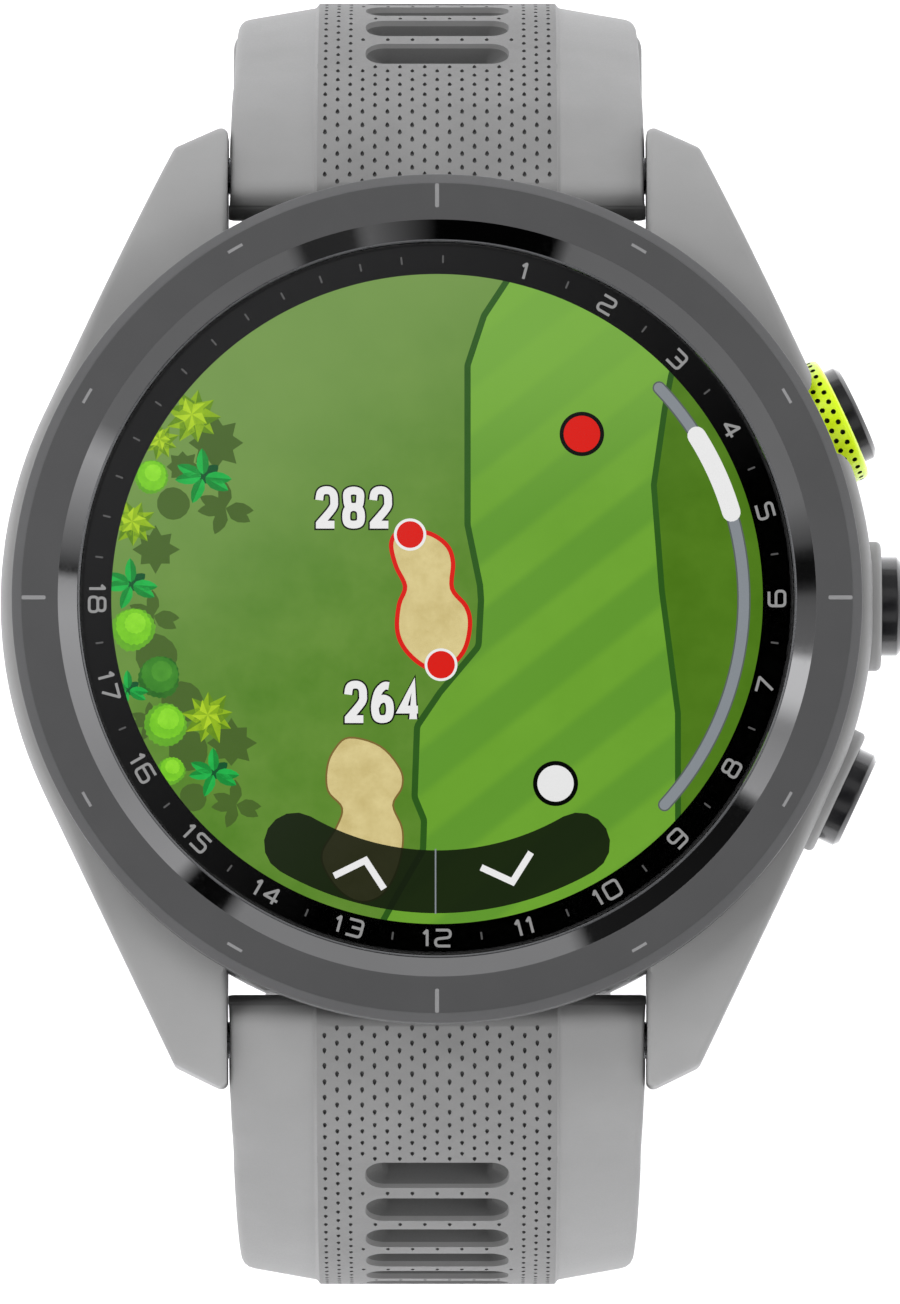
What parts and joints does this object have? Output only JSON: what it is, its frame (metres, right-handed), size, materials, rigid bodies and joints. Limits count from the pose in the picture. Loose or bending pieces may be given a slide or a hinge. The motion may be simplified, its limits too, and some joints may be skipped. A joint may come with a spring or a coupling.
{
  "type": "golf gps watch",
  "caption": "Round golf GPS watch with a flat colour dial, side buttons, lugs and an open two-piece perforated silicone strap with pin buckle.",
  "frame": {"origin": "centre of the flat outer face of the sensor window on the back of the case, where the watch rests on the wrist", "axes": "+Z out of the dial, +Y towards 12 o'clock, +X towards 3 o'clock, the side with the buttons"},
  "size_m": [0.049, 0.0719, 0.0974],
  "materials": {
    "case_polymer": "satin grey fibre-reinforced polymer",
    "bezel_metal": "matte dark anodised top, polished inner bevel",
    "lens": "polished, clear over the display",
    "display": "lit colour display under the lens",
    "black_rubber": "matte",
    "inner_plastic": "matte",
    "circuit_board": "satin solder mask",
    "shield_steel": "satin",
    "cell_foil": "satin foil",
    "copper": "satin",
    "gold_contact": "polished",
    "back_plastic": "satin",
    "sensor_lens": "gloss",
    "led": "gloss",
    "steel": "satin",
    "dark_steel": "satin",
    "button_black": "satin gloss",
    "lime_plastic": "gloss",
    "strap_silicone": "matte"
  },
  "bodies": {
    "case": {"mid_case": "case_polymer", "bezel": "bezel_metal", "cover_glass": "lens", "glass_gasket": "black_rubber", "display_panel": "display", "display_carrier": "inner_plastic", "antenna_ring": "copper", "main_board": "circuit_board", "processor_shield": "shield_steel", "receiver_shield": "shield_steel", "battery": "cell_foil", "battery_tray": "inner_plastic", "vibration_motor": "shield_steel", "back_cover": "back_plastic", "back_seal": "black_rubber", "sensor_window": "sensor_lens", "sensor_board": "circuit_board", "sensor_led": "led", "sensor_photodiode": "sensor_lens", "charge_contact_1": "gold_contact", "charge_contact_2": "gold_contact", "charge_contact_3": "gold_contact", "charge_contact_4": "gold_contact", "back_screw_1": "steel", "back_screw_2": "steel", "back_screw_3": "steel", "back_screw_4": "steel", "lug_pin_12": "steel", "lug_pin_6": "steel", "button_collar_upper": "lime_plastic", "button_collar_middle": "case_polymer", "button_collar_lower": "case_polymer", "button_switch_upper": "inner_plastic", "button_switch_middle": "inner_plastic", "button_switch_lower": "inner_plastic", "button_spring_upper": "steel", "button_spring_middle": "steel", "button_spring_lower": "steel"},
    "button_upper": {"button_upper": "button_black", "button_seal_upper": "black_rubber", "button_clip_upper": "steel"},
    "button_middle": {"button_middle": "button_black", "button_seal_middle": "black_rubber", "button_clip_middle": "steel"},
    "button_lower": {"button_lower": "button_black", "button_seal_lower": "black_rubber", "button_clip_lower": "steel"},
    "strap_12": {"strap_buckle_half": "strap_silicone", "strap_clip_12": "dark_steel", "latch_spring_12": "steel", "keeper_fixed": "strap_silicone", "buckle_pin": "steel"},
    "strap_6": {"strap_tail_half": "strap_silicone", "strap_clip_6": "dark_steel", "latch_spring_6": "steel"},
    "latch_12": {"clip_latch_12": "dark_steel"},
    "latch_6": {"clip_latch_6": "dark_steel"},
    "buckle_frame": {"buckle_frame": "dark_steel"},
    "buckle_tongue": {"buckle_tongue": "dark_steel"},
    "keeper_free": {"keeper_free": "strap_silicone"}
  },
  "joints": [
    {"name": "upper_button_press", "type": "slide", "parent": "case", "child": "button_upper", "axis": [-0.9063, -0.4226, 0], "range_m": [0, 0.0007], "stiffness_N_per_m": 2500, "springref_m": -0.0006, "deforming": ["button_spring_upper"]},
    {"name": "middle_button_press", "type": "slide", "parent": "case", "child": "button_middle", "axis": [-1, 0, 0], "range_m": [0, 0.0007], "stiffness_N_per_m": 2500, "springref_m": -0.0006, "deforming": ["button_spring_middle"]},
    {"name": "lower_button_press", "type": "slide", "parent": "case", "child": "button_lower", "axis": [-0.9063, 0.4226, 0], "range_m": [0, 0.0007], "stiffness_N_per_m": 2500, "springref_m": -0.0006, "deforming": ["button_spring_lower"]},
    {"name": "strap_12_hinge", "type": "hinge", "parent": "case", "child": "strap_12", "pos_m": [0, 0.0236, 0.0052], "axis": [1, 0, 0], "range_deg": [-15, 20]},
    {"name": "strap_6_hinge", "type": "hinge", "parent": "case", "child": "strap_6", "pos_m": [0, -0.0236, 0.0052], "axis": [-1, 0, 0], "range_deg": [-10, 20]},
    {"name": "latch_12_slide", "type": "slide", "parent": "strap_12", "child": "latch_12", "axis": [0, 0.788, -0.6157], "range_m": [0, 0.0024], "stiffness_N_per_m": 600, "springref_m": -0.001, "deforming": ["latch_spring_12"]},
    {"name": "latch_6_slide", "type": "slide", "parent": "strap_6", "child": "latch_6", "axis": [0, -0.788, -0.6157], "range_m": [0, 0.0024], "stiffness_N_per_m": 600, "springref_m": -0.001, "deforming": ["latch_spring_6"]},
    {"name": "buckle_swing", "type": "hinge", "parent": "strap_12", "child": "buckle_frame", "pos_m": [0, 0.01776, -0.05237], "axis": [1, 0, 0], "range_deg": [-60, 12]},
    {"name": "tongue_swing", "type": "hinge", "parent": "buckle_frame", "child": "buckle_tongue", "pos_m": [0, 0.01776, -0.05237], "axis": [1, 0, 0], "range_deg": [0, 60]},
    {"name": "free_keeper_slide", "type": "hinge", "parent": "strap_12", "child": "keeper_free", "pos_m": [0, 0.00344, -0.02756], "axis": [-1, 0, 0], "range_deg": [-7, 6.5]}
  ]
}
